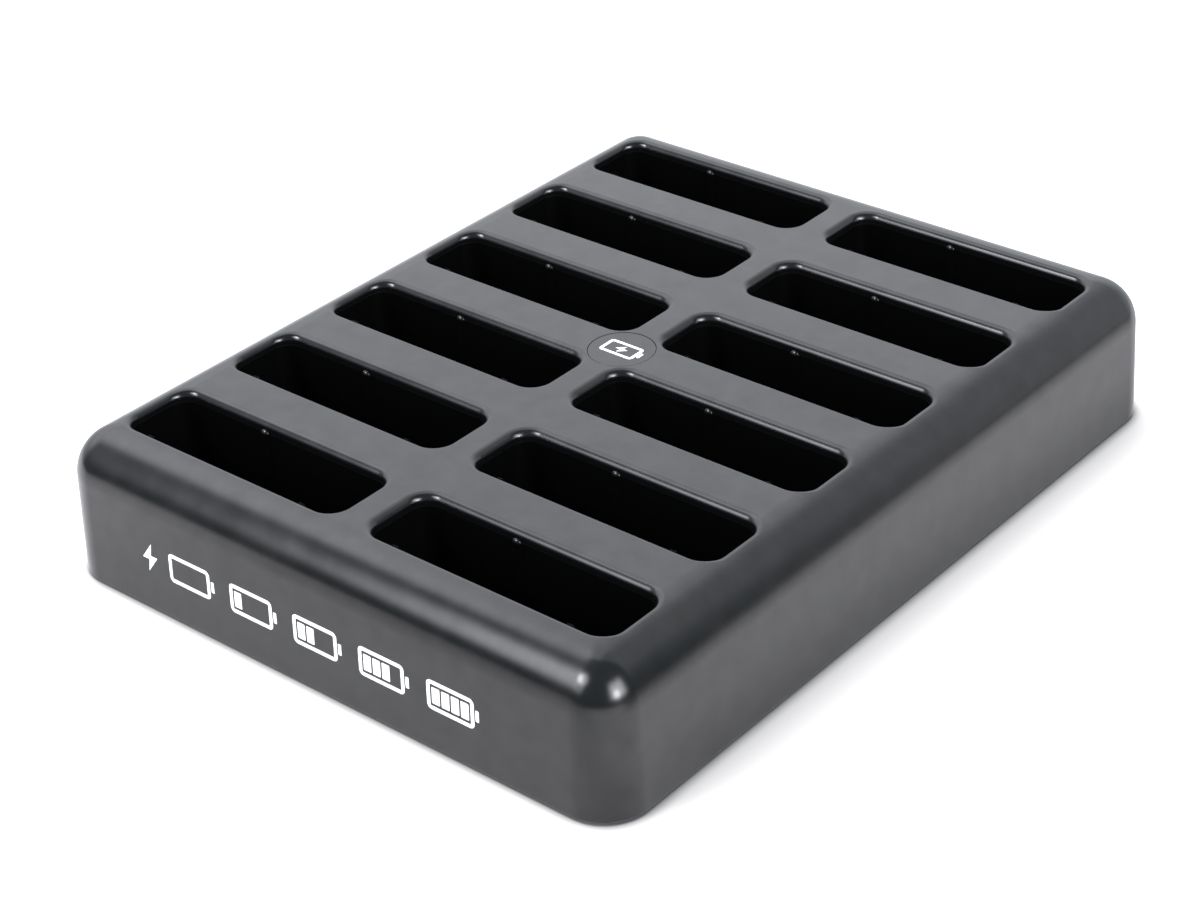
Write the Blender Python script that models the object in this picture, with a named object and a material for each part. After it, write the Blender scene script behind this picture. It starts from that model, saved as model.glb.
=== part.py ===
"""Twelve-bay drop-in charging tray for pocket-size bodypack units.

Metres, +Z up, the printed front face towards -Y, origin on the floor under the middle of the tray.
The tray comes apart as: moulded top shell with its twelve wells, base plate, badge, rubber feet,
screws, two charge boards, power board, link headers, capacitor, DC inlet, and in every bay a
contact block with two spring-loaded contact pins.
"""
import math

import bmesh
import bpy

MM = 0.001
GAP = 0.3 * MM                      # kept between pieces that touch

# Body of the tray
WIDTH = 254.0 * MM                  # along X at the rim
LENGTH = 324.5 * MM                 # along Y at the rim
TOP = 57.0 * MM                     # flat top above the floor
RIM = 1.1 * MM                      # lower edge of the shell above the floor
CORNER = 16.5 * MM                  # plan radius of the upright corners at the rim
TOP_CORNER = 2.0 * MM               # the least plan radius they shrink to on the way up
EDGE_FILLET = 18.5 * MM             # rounding between sides and top
DRAFT = math.tan(math.radians(2.2))
WALL = 2.8 * MM

# Wells
ROWS = 6
COLUMN_PITCH = 117.0 * MM
ROW_PITCH = 50.8 * MM
WELL_X = 102.5 * MM                 # opening between the walls, just under the lip
WELL_Y = 28.7 * MM
WELL_CORNER = 7.0 * MM
WELL_FLOOR = 17.0 * MM
WELL_DRAFT = math.tan(math.radians(0.8))
LIP = 2.8 * MM                      # radius of the rounded lip
LIP_END = math.radians(78.0)        # where the faceted lip arc stops, short of level
FLOOR_CHAMFER = 1.5 * MM
WELL_WALL = 2.5 * MM
RIB_WIDTH = 3.0 * MM
RIB_PROUD = 0.4 * MM
FRONT_RIB_X = 37.0 * MM             # guide ribs on each well's front wall
REAR_RIB_X = 17.0 * MM              # and on its rear wall

# Base plate, feet and screws
BASE_LOW = 1.3 * MM
BASE_TOP = 4.5 * MM
BASE_CLEARANCE = 0.5 * MM
FOOT_RADIUS = 8.0 * MM
FOOT_TOP = 2.0 * MM
FOOT_PLACES = [(x * MM, y * MM) for x in (-98.0, 98.0) for y in (-132.0, 132.0)]
CORNER_SCREWS = [(x * MM, y * MM) for x in (-104.0, 104.0) for y in (-151.3, 151.3)]
SIDE_SCREWS = [(x * MM, 0.0) for x in (-117.2, 117.2)]
CENTRE_SCREWS = [(0.0, y * ROW_PITCH) for y in (-1.0, 1.0)]
SCREW_PLACES = CORNER_SCREWS + SIDE_SCREWS + CENTRE_SCREWS
SCREW_HEAD_RADIUS = 3.2 * MM
SCREW_HEAD = (1.4 * MM, 2.8 * MM)
SCREW_RADIUS = 1.45 * MM
SCREW_TIP = 15.0 * MM
BOSS_RADIUS = 3.7 * MM
PILOT_DEPTH = 16.0 * MM

# Boards
BOARD = (7.4 * MM, 9.0 * MM)        # lower and upper face
CHARGE_BOARD_X = 34.0 * MM
CHARGE_BOARD_Y = 280.0 * MM
POWER_BOARD_X = 76.0 * MM
POWER_BOARD_Y = (118.0 * MM, 157.4 * MM)
POST_RADIUS = 2.0 * MM
HEADER = (10.5 * MM, 12.0 * MM, 3.2 * MM)
HEADER_Y = 134.0 * MM
CAPACITOR_RADIUS = 4.0 * MM
CAPACITOR_PLACE = (22.0 * MM, 150.8 * MM)
CAPACITOR_TOP = 21.0 * MM

# Contacts
PIN_SPACING = 14.0 * MM
PIN_RADIUS = 1.25 * MM
PIN_TOP = 19.6 * MM
COLLAR_RADIUS = 1.75 * MM
COLLAR = (13.0 * MM, 14.2 * MM)
PIN_HOLE_RADIUS = 1.6 * MM
BLOCK_X = 22.0 * MM
BLOCK_Y = 8.0 * MM
BLOCK_BORE_RADIUS = 2.1 * MM
BLOCK_BORE_FLOOR = 10.6 * MM

# Badge
BADGE_RADIUS = 12.4 * MM
BADGE_LOW = 55.9 * MM
BADGE_TOP = TOP - 0.05 * MM

# DC inlet in the rear wall
JACK_X = 9.0 * MM
JACK_HEIGHT = 11.0 * MM
JACK_Y = (145.5 * MM, 158.0 * MM)
JACK_NOSE_RADIUS = 4.0 * MM
JACK_NOSE_END = 160.8 * MM
JACK_SOCKET_RADIUS = 3.1 * MM
JACK_SOCKET_DEPTH = 9.5 * MM
JACK_PIN_RADIUS = 1.05 * MM
JACK_PIN_LENGTH = 8.2 * MM


def clear_scene():
    for obj in list(bpy.data.objects):
        bpy.data.objects.remove(obj, do_unlink=True)


def make_material(name, colour, roughness, metallic=0.0):
    material = bpy.data.materials.new(name)
    material.use_nodes = True
    shader = material.node_tree.nodes["Principled BSDF"]
    shader.inputs["Base Color"].default_value = (*colour, 1.0)
    shader.inputs["Roughness"].default_value = roughness
    shader.inputs["Metallic"].default_value = metallic
    return material


def add_object(name, mesh, material=None, location=(0.0, 0.0, 0.0)):
    obj = bpy.data.objects.new(name, mesh)
    obj.location = location
    bpy.context.scene.collection.objects.link(obj)
    if material and not mesh.materials:
        mesh.materials.append(material)
    return obj


def finish_mesh(bm, name):
    mesh = bpy.data.meshes.new(name)
    bmesh.ops.recalc_face_normals(bm, faces=bm.faces)
    bm.to_mesh(mesh)
    bm.free()
    return mesh


def shade(mesh, angle=35.0):
    mesh.shade_smooth()
    mesh.set_sharp_from_angle(angle=math.radians(angle))


# Outlines and solids

def rounded_outline(half_x, half_y, radius, z, steps):
    """Points around a rectangle with round corners, anticlockwise from the +X +Y corner."""
    points = []
    for turn, (sign_x, sign_y) in enumerate(((1, 1), (-1, 1), (-1, -1), (1, -1))):
        centre_x = sign_x * (half_x - radius)
        centre_y = sign_y * (half_y - radius)
        for step in range(steps + 1):
            angle = math.radians(90.0) * (turn + step / steps)
            points.append((centre_x + radius * math.cos(angle), centre_y + radius * math.sin(angle), z))
    return points


def circle(radius, z, steps):
    angles = [2.0 * math.pi * step / steps for step in range(steps)]
    return [(radius * math.cos(angle), radius * math.sin(angle), z) for angle in angles]


def loft_into(bm, rings, at=(0.0, 0.0)):
    """Adds a closed solid through rings of equal length, capped at both ends, moved by at in plan."""
    loops = [[bm.verts.new((x + at[0], y + at[1], z)) for x, y, z in ring] for ring in rings]
    for lower, upper in zip(loops, loops[1:]):
        for index in range(len(lower)):
            following = (index + 1) % len(lower)
            bm.faces.new((lower[index], lower[following], upper[following], upper[index]))
    bm.faces.new(loops[0][::-1])
    bm.faces.new(loops[-1])


def lofted_mesh(name, rings):
    bm = bmesh.new()
    loft_into(bm, rings)
    return finish_mesh(bm, name)


def repeated_mesh(name, rings, places):
    bm = bmesh.new()
    for place in places:
        loft_into(bm, rings, place)
    return finish_mesh(bm, name)


def box_rings(size_x, size_y, low, high):
    corners = [(size_x / 2, size_y / 2), (-size_x / 2, size_y / 2)]
    corners += [(-x, -y) for x, y in corners]
    return [[(x, y, z) for x, y in corners] for z in (low, high)]


def cylinder_rings(radius, low, high, steps):
    return [circle(radius, low, steps), circle(radius, high, steps)]


def turned_mesh(name, profile, steps):
    """A solid of revolution about Z from (radius, z) points, listed from its foot to its top."""
    return lofted_mesh(name, [circle(radius, z, steps) for radius, z in profile])


def combine(target, mesh, operation="DIFFERENCE"):
    """Cuts target with the solids of mesh, or joins them to it, and keeps the result as its mesh."""
    tool = add_object("tool", mesh)
    modifier = target.modifiers.new("combine", "BOOLEAN")
    modifier.operation = operation
    modifier.solver = "EXACT"
    modifier.object = tool
    bpy.context.view_layer.update()
    evaluated = target.evaluated_get(bpy.context.evaluated_depsgraph_get())
    result = bpy.data.meshes.new_from_object(evaluated)
    target.modifiers.remove(modifier)
    result.name = target.name
    target.data = result
    bpy.data.objects.remove(tool, do_unlink=True)


def turn_to_rear(mesh, x, y, z):
    """Lays a solid made along +Z down along +Y, its foot at the given point."""
    for vertex in mesh.vertices:
        along = vertex.co.z
        vertex.co.z = z - vertex.co.y
        vertex.co.y = y + along
        vertex.co.x += x
    return mesh


# Layout

def bay_places():
    """Middle of every bay in plan: the left column from front to back, then the right column."""
    rows = [(row - (ROWS - 1) / 2) * ROW_PITCH for row in range(ROWS)]
    return [(side * COLUMN_PITCH / 2, y) for side in (-1, 1) for y in rows]


def tray_rings(inset, low, top, fillet_steps):
    """Rings of the drafted tray body, inset all round: upright sides, then the fillet to the top."""
    fillet = EDGE_FILLET - inset
    tilt = math.atan(DRAFT)
    side_top = top - fillet + fillet * math.sin(tilt)
    centre_inset = DRAFT * (side_top - RIM) + fillet * math.cos(tilt)
    steps = [(DRAFT * (low - RIM), low)]
    for step in range(fillet_steps + 1):
        angle = tilt + (math.radians(90.0) - tilt) * step / fillet_steps
        steps.append((centre_inset - fillet * math.cos(angle), top - fillet + fillet * math.sin(angle)))
    rings = []
    for shrink, z in steps:
        depth = inset + shrink
        radius = max(CORNER - depth, TOP_CORNER)
        rings.append(rounded_outline(WIDTH / 2 - depth, LENGTH / 2 - depth, radius, z, 5))
    return rings


def well_ring(grow, z):
    return rounded_outline(WELL_X / 2 + grow, WELL_Y / 2 + grow, WELL_CORNER + grow, z, 4)


def well_rings():
    """Rings of the space inside one well, from its floor to above the top of the tray."""
    lip_foot = TOP - LIP
    shrink = WELL_DRAFT * (lip_foot - WELL_FLOOR)
    rings = [
        well_ring(-shrink - FLOOR_CHAMFER, WELL_FLOOR),
        well_ring(-shrink, WELL_FLOOR + FLOOR_CHAMFER),
        well_ring(0.0, lip_foot),
    ]
    lip_steps = 2
    for step in range(1, lip_steps + 1):
        angle = LIP_END * step / lip_steps
        rings.append(well_ring(LIP * (1.0 - math.cos(angle)), lip_foot + LIP * math.sin(angle)))
    rings.append(well_ring(LIP * (1.0 - math.cos(LIP_END)), TOP + 1.0 * MM))
    return rings


def island_rings():
    """Rings of one well's outer block: what the shell keeps inside its hollow around a well."""
    shrink = WELL_DRAFT * (TOP - WELL_FLOOR)
    return [
        well_ring(WELL_WALL - shrink, WELL_FLOOR - WELL_WALL),
        well_ring(WELL_WALL, TOP - 1.0 * MM),
    ]


def rib_places():
    places = []
    for x, y in bay_places():
        places += [(x + side * FRONT_RIB_X, y - WELL_Y / 2) for side in (-1, 1)]
        places += [(x + side * REAR_RIB_X, y + WELL_Y / 2) for side in (-1, 1)]
    return places


def pin_places():
    return [(x + side * PIN_SPACING / 2, y) for x, y in bay_places() for side in (-1, 1)]


# Moulded parts

def make_cavity():
    """The hollow under the shell, without the well blocks and the screw bosses that stand in it."""
    cavity = add_object("cavity", lofted_mesh("cavity", tray_rings(WALL, -2.0 * MM, TOP - WALL, 3)))
    combine(cavity, repeated_mesh("blocks", island_rings(), bay_places()))
    bosses = cylinder_rings(BOSS_RADIUS, BASE_TOP + GAP, TOP - 1.0 * MM, 12)
    combine(cavity, repeated_mesh("bosses", bosses, SCREW_PLACES))
    return cavity


def make_well_space():
    space = add_object("wells", repeated_mesh("wells", well_rings(), bay_places()))
    rib_depth = 2.0 * (RIB_PROUD + WELL_DRAFT * (TOP - WELL_FLOOR))
    ribs = box_rings(RIB_WIDTH, rib_depth, WELL_FLOOR - 1.0 * MM, TOP - LIP)
    combine(space, repeated_mesh("ribs", ribs, rib_places()))
    return space


def make_top_shell(material):
    shell = add_object("top_shell", lofted_mesh("top_shell", tray_rings(0.0, RIM, TOP, 5)))
    for hollow in (make_cavity(), make_well_space()):
        combine(shell, hollow.data)
        bpy.data.objects.remove(hollow, do_unlink=True)
    pin_hole = cylinder_rings(PIN_HOLE_RADIUS, WELL_FLOOR - 2 * WELL_WALL, WELL_FLOOR + 1.0 * MM, 10)
    combine(shell, repeated_mesh("pin_holes", pin_hole, pin_places()))
    pilot = cylinder_rings(SCREW_RADIUS + GAP, 0.0, PILOT_DEPTH, 10)
    combine(shell, repeated_mesh("pilots", pilot, SCREW_PLACES))
    combine(shell, lofted_mesh("recess", cylinder_rings(BADGE_RADIUS + GAP, BADGE_LOW - GAP, TOP + MM, 32)))
    jack_hole = lofted_mesh("jack_hole", cylinder_rings(JACK_NOSE_RADIUS + GAP, 0.0, 2 * WALL, 20))
    combine(shell, turn_to_rear(jack_hole, 0.0, LENGTH / 2 - 1.7 * WALL, jack_axis_z()))
    shell.data.materials.clear()
    shell.data.materials.append(material)
    shade(shell.data)
    return shell


def make_base_plate(material):
    depth = WALL + BASE_CLEARANCE
    outline = [rounded_outline(WIDTH / 2 - depth, LENGTH / 2 - depth, CORNER - depth, z, 5)
               for z in (BASE_LOW, BASE_TOP)]
    plate = add_object("base_plate", lofted_mesh("base_plate", outline))
    posts = cylinder_rings(POST_RADIUS, BASE_LOW + MM, BOARD[0] - GAP, 8)
    combine(plate, repeated_mesh("posts", posts, post_places()), "UNION")
    foot_recess = cylinder_rings(FOOT_RADIUS + GAP, 0.0, FOOT_TOP + GAP, 20)
    combine(plate, repeated_mesh("recesses", foot_recess, FOOT_PLACES))
    counterbore = cylinder_rings(SCREW_HEAD_RADIUS + 2 * GAP, 0.0, SCREW_HEAD[1] + GAP, 12)
    combine(plate, repeated_mesh("counterbores", counterbore, SCREW_PLACES))
    hole = cylinder_rings(SCREW_RADIUS + GAP, 0.0, BASE_TOP + MM, 12)
    combine(plate, repeated_mesh("screw_holes", hole, SCREW_PLACES))
    plate.data.materials.clear()
    plate.data.materials.append(material)
    shade(plate.data)
    return plate


def post_places():
    """Posts on the base plate: three pairs under each charge board, two pairs under the power board."""
    half = CHARGE_BOARD_X / 2 - 4.0 * MM
    places = []
    for side in (-1, 1):
        for row in (-2, 0, 2):
            places += [(side * COLUMN_PITCH / 2 + x, row * ROW_PITCH) for x in (-half, half)]
    for x in (-30.0 * MM, 30.0 * MM):
        places += [(x, POWER_BOARD_Y[0] + 5.0 * MM), (x, POWER_BOARD_Y[1] - 5.0 * MM)]
    return places


def make_feet(material):
    edge = 0.8 * MM
    profile = [(FOOT_RADIUS - edge, 0.0), (FOOT_RADIUS, edge), (FOOT_RADIUS, FOOT_TOP)]
    mesh = turned_mesh("foot", profile, 20)
    shade(mesh, 50.0)
    for number, (x, y) in enumerate(FOOT_PLACES, 1):
        add_object(f"rubber_foot_{number}", mesh, material, (x, y, 0.0))


def make_screws(material):
    low, high = SCREW_HEAD
    profile = [
        (SCREW_HEAD_RADIUS - 0.5 * MM, low),
        (SCREW_HEAD_RADIUS, low + 0.5 * MM),
        (SCREW_HEAD_RADIUS, high),
        (SCREW_RADIUS, high),
        (SCREW_RADIUS, SCREW_TIP - 1.0 * MM),
        (SCREW_RADIUS * 0.4, SCREW_TIP),
    ]
    mesh = turned_mesh("base_screw", profile, 10)
    shade(mesh)
    for number, (x, y) in enumerate(SCREW_PLACES, 1):
        add_object(f"base_screw_{number}", mesh, material, (x, y, 0.0))


def make_badge(material):
    mesh = lofted_mesh("badge_disc", cylinder_rings(BADGE_RADIUS, BADGE_LOW, BADGE_TOP, 32))
    shade(mesh)
    add_object("badge_disc", mesh, material)


# Electronics

def make_boards(material):
    mesh = lofted_mesh("charge_board", box_rings(CHARGE_BOARD_X, CHARGE_BOARD_Y, *BOARD))
    for side, name in ((-1, "charge_board_left"), (1, "charge_board_right")):
        add_object(name, mesh, material, (side * COLUMN_PITCH / 2, 0.0, 0.0))
    low, high = POWER_BOARD_Y
    power = lofted_mesh("power_board", box_rings(POWER_BOARD_X, high - low, *BOARD))
    add_object("power_board", power, material, (0.0, (low + high) / 2, 0.0))


def make_link_headers(material):
    size_x, size_y, height = HEADER
    low = BOARD[1] + GAP
    mesh = lofted_mesh("link_header", box_rings(size_x, size_y, low, low + height))
    charge_board_edge = COLUMN_PITCH / 2 - CHARGE_BOARD_X / 2
    middle = (charge_board_edge + POWER_BOARD_X / 2) / 2
    for side, name in ((-1, "link_header_left"), (1, "link_header_right")):
        add_object(name, mesh, material, (side * middle, HEADER_Y, 0.0))


def make_capacitor(material):
    low = BOARD[1] + GAP
    edge = 0.5 * MM
    profile = [
        (CAPACITOR_RADIUS, low),
        (CAPACITOR_RADIUS, CAPACITOR_TOP - edge),
        (CAPACITOR_RADIUS - edge, CAPACITOR_TOP),
    ]
    mesh = turned_mesh("bulk_capacitor", profile, 16)
    shade(mesh)
    add_object("bulk_capacitor", mesh, material, (*CAPACITOR_PLACE, 0.0))


def jack_axis_z():
    return BOARD[1] + GAP + JACK_HEIGHT / 2


def make_dc_jack(plastic, metal):
    rear, front = JACK_Y
    low = BOARD[1] + GAP
    jack = add_object("dc_jack", lofted_mesh("dc_jack", box_rings(JACK_X, front - rear, low, low + JACK_HEIGHT)))
    for vertex in jack.data.vertices:
        vertex.co.y += (rear + front) / 2
    nose = lofted_mesh("nose", cylinder_rings(JACK_NOSE_RADIUS, 0.0, JACK_NOSE_END - front + MM, 20))
    combine(jack, turn_to_rear(nose, 0.0, front - MM, jack_axis_z()), "UNION")
    socket = lofted_mesh("socket", cylinder_rings(JACK_SOCKET_RADIUS, 0.0, JACK_SOCKET_DEPTH + MM, 16))
    socket_floor = JACK_NOSE_END - JACK_SOCKET_DEPTH
    combine(jack, turn_to_rear(socket, 0.0, socket_floor, jack_axis_z()))
    jack.data.materials.clear()
    jack.data.materials.append(plastic)
    shade(jack.data)
    tip = 0.4 * MM
    profile = [
        (JACK_PIN_RADIUS, 0.0),
        (JACK_PIN_RADIUS, JACK_PIN_LENGTH - tip),
        (JACK_PIN_RADIUS - tip, JACK_PIN_LENGTH),
    ]
    pin = turn_to_rear(turned_mesh("dc_jack_pin", profile, 10), 0.0, 0.0, 0.0)
    shade(pin)
    add_object("dc_jack_pin", pin, metal, (0.0, socket_floor + GAP, jack_axis_z()))


# Contacts

def make_contact_blocks(material):
    low = BOARD[1] + GAP
    high = WELL_FLOOR - WELL_WALL - GAP
    block = add_object("block", lofted_mesh("contact_block", box_rings(BLOCK_X, BLOCK_Y, low, high)))
    bore = cylinder_rings(BLOCK_BORE_RADIUS, BLOCK_BORE_FLOOR, high + MM, 10)
    bores = repeated_mesh("bores", bore, [(side * PIN_SPACING / 2, 0.0) for side in (-1, 1)])
    combine(block, bores)
    mesh = block.data
    bpy.data.objects.remove(block, do_unlink=True)
    mesh.materials.clear()
    shade(mesh)
    for number, (x, y) in enumerate(bay_places(), 1):
        add_object(f"contact_block_{number:02d}", mesh, material, (x, y, 0.0))


def make_contact_pins(material):
    """Two sprung contact pins for each bay; each pin's origin is on its own sliding axis."""
    collar_low, collar_high = COLLAR
    dome = PIN_RADIUS
    profile = [
        (COLLAR_RADIUS, collar_low),
        (COLLAR_RADIUS, collar_high),
        (PIN_RADIUS, collar_high),
        (PIN_RADIUS, PIN_TOP - dome),
        (PIN_RADIUS * math.cos(math.radians(50.0)), PIN_TOP - dome + dome * math.sin(math.radians(50.0))),
        (PIN_RADIUS * 0.2, PIN_TOP),
    ]
    mesh = turned_mesh("contact_pin", profile, 10)
    shade(mesh)
    for number, (x, y) in enumerate(bay_places(), 1):
        for side, pole in ((-1, "minus"), (1, "plus")):
            place = (x + side * PIN_SPACING / 2, y, 0.0)
            add_object(f"contact_pin_{number:02d}_{pole}", mesh, material, place)


def main():
    clear_scene()
    shell_plastic = make_material("shell_plastic", (0.045, 0.046, 0.050), 0.42)
    base_plastic = make_material("base_plastic", (0.030, 0.030, 0.032), 0.55)
    badge_plastic = make_material("badge_plastic", (0.050, 0.051, 0.055), 0.40)
    foot_rubber = make_material("foot_rubber", (0.015, 0.015, 0.015), 0.85)
    screw_steel = make_material("screw_steel", (0.45, 0.45, 0.46), 0.35, 1.0)
    board_laminate = make_material("board_laminate", (0.02, 0.12, 0.05), 0.45)
    header_nylon = make_material("header_nylon", (0.60, 0.58, 0.50), 0.50)
    capacitor_can = make_material("capacitor_can", (0.55, 0.56, 0.58), 0.30, 1.0)
    jack_plastic = make_material("jack_plastic", (0.012, 0.012, 0.013), 0.40)
    block_nylon = make_material("block_nylon", (0.020, 0.020, 0.022), 0.50)
    contact_gold = make_material("contact_gold", (0.80, 0.58, 0.24), 0.25, 1.0)

    make_top_shell(shell_plastic)
    make_base_plate(base_plastic)
    make_badge(badge_plastic)
    make_feet(foot_rubber)
    make_screws(screw_steel)
    make_boards(board_laminate)
    make_link_headers(header_nylon)
    make_capacitor(capacitor_can)
    make_dc_jack(jack_plastic, contact_gold)
    make_contact_blocks(block_nylon)
    make_contact_pins(contact_gold)


main()
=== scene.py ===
"""The looks of the twelve-bay charging tray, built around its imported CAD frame.

Metres, +Z up, the printed front face towards -Y, the DC inlet in the rear wall at +Y.
"""
import math

import bmesh
import bpy
from mathutils import Matrix, Vector


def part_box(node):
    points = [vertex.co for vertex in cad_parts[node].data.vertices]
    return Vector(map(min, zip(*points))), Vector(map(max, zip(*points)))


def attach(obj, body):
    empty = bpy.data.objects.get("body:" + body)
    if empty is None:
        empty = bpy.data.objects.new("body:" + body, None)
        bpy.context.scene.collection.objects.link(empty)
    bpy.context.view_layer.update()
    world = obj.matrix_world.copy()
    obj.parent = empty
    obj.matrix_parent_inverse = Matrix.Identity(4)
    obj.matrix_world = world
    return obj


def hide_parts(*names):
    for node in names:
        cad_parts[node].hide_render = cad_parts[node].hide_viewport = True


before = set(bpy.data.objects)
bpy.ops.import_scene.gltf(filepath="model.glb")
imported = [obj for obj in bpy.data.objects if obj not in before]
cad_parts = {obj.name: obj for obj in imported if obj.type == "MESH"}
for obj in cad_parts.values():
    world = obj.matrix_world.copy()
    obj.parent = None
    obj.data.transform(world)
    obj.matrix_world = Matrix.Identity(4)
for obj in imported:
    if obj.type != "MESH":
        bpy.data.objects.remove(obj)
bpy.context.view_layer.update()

MM = 0.001

# Body of the tray, as in the CAD
SHELL_LOW, SHELL_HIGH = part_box("top_shell")
WIDTH = SHELL_HIGH.x - SHELL_LOW.x
LENGTH = SHELL_HIGH.y - SHELL_LOW.y
TOP = SHELL_HIGH.z
RIM = SHELL_LOW.z
CORNER = 16.5 * MM
CORNER_EASE = 6.0 * MM
EDGE_FILLET = 18.5 * MM
DRAFT = math.tan(math.radians(2.2))
WALL = 2.8 * MM
RIM_ROUND = 0.4 * MM

# Wells
COLUMN_PITCH = 117.0 * MM
ROW_PITCH = 50.8 * MM
ROWS = 6
WELL_X = 102.5 * MM
WELL_Y = 28.7 * MM
WELL_CORNER = 7.0 * MM
WELL_FLOOR = 17.0 * MM
WELL_DRAFT = math.tan(math.radians(0.8))
WELL_WALL = 2.5 * MM
FLOOR_ROUND = 1.5 * MM
LIP = 3.0 * MM
LIP_END = math.radians(84.0)
LIP_STEPS = 9
WELL_CORNER_STEPS = 12

# Guide ribs in the wells, their places counted from the middle of a bay
FRONT_RIB_X = 37.0 * MM
FRONT_RIB_WIDTH = 3.0 * MM
FRONT_RIB_PROUD = 0.4 * MM
REAR_RIB_X = -10.5 * MM
REAR_RIB_WIDTH = 3.8 * MM
REAR_RIB_PROUD = 0.9 * MM
REAR_RIB_TOP = 52.0 * MM

# Smaller parts, placed by the CAD's own boxes
GAP = 0.3 * MM
PIN_SPACING = 14.0 * MM
PIN_HOLE_RADIUS = 1.6 * MM
BOSS_RADIUS = 3.7 * MM
BOSS_GRIP = 10.0 * MM
PILOT_RADIUS = 1.75 * MM
PILOT_DEPTH = 16.0 * MM
JACK_NOSE_RADIUS = 4.0 * MM
JACK_SOCKET_RADIUS = 3.1 * MM
JACK_SOCKET_DEPTH = 9.5 * MM

# Moulded plastic: the size of a feature of its colour, its polish, its gloss, its waviness and its grain
FLOW_SIZE = 45.0 * MM
POLISH_SIZE = 18.0 * MM
GLOSS_SIZE = 9.0 * MM
WAVE_SIZE = 28.0 * MM
GRAIN_SIZE = 0.45 * MM

# Where the wells' walls turn from glossy to dull and are darkened as painted shade: a box inside the lips
DULL_AND_SHADED_INSET_X = 13.5 * MM
DULL_AND_SHADED_INSET_Y = 16.2 * MM
DULL_AND_SHADED_BELOW_TOP = 1.2 * LIP
DULL_ROUGHNESS = 0.55
# Inside the box the gloss and the colour are turned down: painted shade deep in the wells
PAINTED_SHADE_GLOSS = 0.04
WELL_PAINTED_SHADE = 0.3

# Print
INK_PROUD = 0.03 * MM
INK_SUNK = 0.05 * MM
FRONT_PRINT_LEFT = -84.0 * MM
FRONT_PRINT_LOW = 16.4 * MM
FRONT_PRINT_HEIGHT = 11.4 * MM
STROKE = 1.5 * MM

# Camera: where it looks, from which side, and its lens
LOOK_AT = Vector((38.5 * MM, -58.6 * MM, TOP))
CAMERA_AZIMUTH = math.radians(41.17)
CAMERA_ELEVATION = math.radians(31.37)
CAMERA_DISTANCE = 902.6 * MM
CAMERA_ROLL = math.radians(-2.77)
CAMERA_LENS = 79.96

# Overhead light, which only falls on surfaces
OVERHEAD_AZIMUTH = math.radians(-95.0)
OVERHEAD_ELEVATION = math.radians(64.0)
OVERHEAD_DISTANCE = 1.6
OVERHEAD_SIZE = 2.0
OVERHEAD_RADIANCE = 2.75

# What the tray mirrors is a little blue
LAMP_COLOUR = (0.975, 0.978, 1.03, 1.0)
ROOM_COLOUR = (0.82, 0.95, 1.02, 1.0)

# Dim room it mirrors: start and end in elevation, in degrees, and brightness at both
ROOM = (-4.0, 24.0, 0.32, 0.45)

# Pale backdrop it mirrors, and a brighter upper part: flanks in azimuth counted from the rear, in degrees
BACKDROP_BRIGHTNESS = 0.80
BACKDROP = ((-52.0, -40.0), (96.0, 118.0))
UPPER_BRIGHTNESS = 0.95
UPPER = ((-15.0, 22.0), (96.0, 118.0))
UPPER_RISE = (4.0, 29.0)

# Panels it mirrors: brightness, flanks in azimuth, flanks in elevation, lean; all angles in degrees
STUDIO_PANELS = (
    (0.45, ((-120.0, -80.0), (-46.0, -30.0)), ((4.0, 26.0), (60.0, 80.0)), 0.0),
    (1.30, ((-171.0, -121.0), (-100.0, -80.0)), ((32.0, 46.0), (62.0, 80.0)), 0.5),
    (9.5, ((56.0, 74.0), (92.0, 112.0)), ((5.0, 15.0), (30.0, 47.0)), 0.0),
)

# Lamps it mirrors: brightness, azimuth, elevation, radius of the core and of the outer edge
STUDIO_LAMPS = (
    (15.0, -26.0, 38.0, 2.0, 10.0),
    (3.4, -19.0, 26.0, 4.0, 15.0),
    (8.0, -16.0, 41.0, 3.0, 15.0),
    (16.0, 79.0, 17.0, 2.0, 10.5),
)

# Strip light: a sheet, where it stands, and the glowing patch on it with its flanks across and along
STRIP_HALF_WIDTH = 0.62
STRIP_HALF_HEIGHT = 0.82
STRIP_THICKNESS = 0.01
STRIP_AIM_X = 30.0 * MM
STRIP_AZIMUTH = math.radians(-37.0)
STRIP_ELEVATION = math.radians(30.0)
STRIP_DISTANCE = 1.7
STRIP_ACROSS = ((-0.36, 0.07), (0.12, 0.52))
STRIP_ALONG = ((-0.72, -0.10), (0.15, 0.80))
STRIP_LEAN = 0.15
STRIP_LEAN_FOOT = -0.11
STRIP_BRIGHTNESS = 6.2

# Floor
FLOOR_HALF = 5.0
FLOOR_THICKNESS = 4.0 * MM
FLOOR_MOTTLE = 0.12
CONTACT_SHADOW_REACH = 7.0 * MM
CONTACT_SHADOW_COLOUR = (0.14, 0.14, 0.14)


def direction(azimuth, elevation):
    """Unit vector from the tray towards an azimuth counted from the front (-Y) towards +X."""
    flat = math.cos(elevation)
    return Vector((math.sin(azimuth) * flat, -math.cos(azimuth) * flat, math.sin(elevation)))


# Mesh tools

def finish_mesh(name, bm):
    mesh = bpy.data.meshes.new(name)
    bmesh.ops.recalc_face_normals(bm, faces=bm.faces)
    bm.to_mesh(mesh)
    bm.free()
    return mesh


def add_object(name, mesh):
    obj = bpy.data.objects.new(name, mesh)
    bpy.context.scene.collection.objects.link(obj)
    return obj


def shade(obj, angle=35.0):
    """Smooth shading that breaks at edges sharper than the angle and keeps flat faces flat."""
    obj.data.shade_smooth()
    obj.data.set_sharp_from_angle(angle=math.radians(angle))
    weighted = obj.modifiers.new("weighted_normals", "WEIGHTED_NORMAL")
    weighted.keep_sharp = True
    weighted.weight = 80


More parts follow.
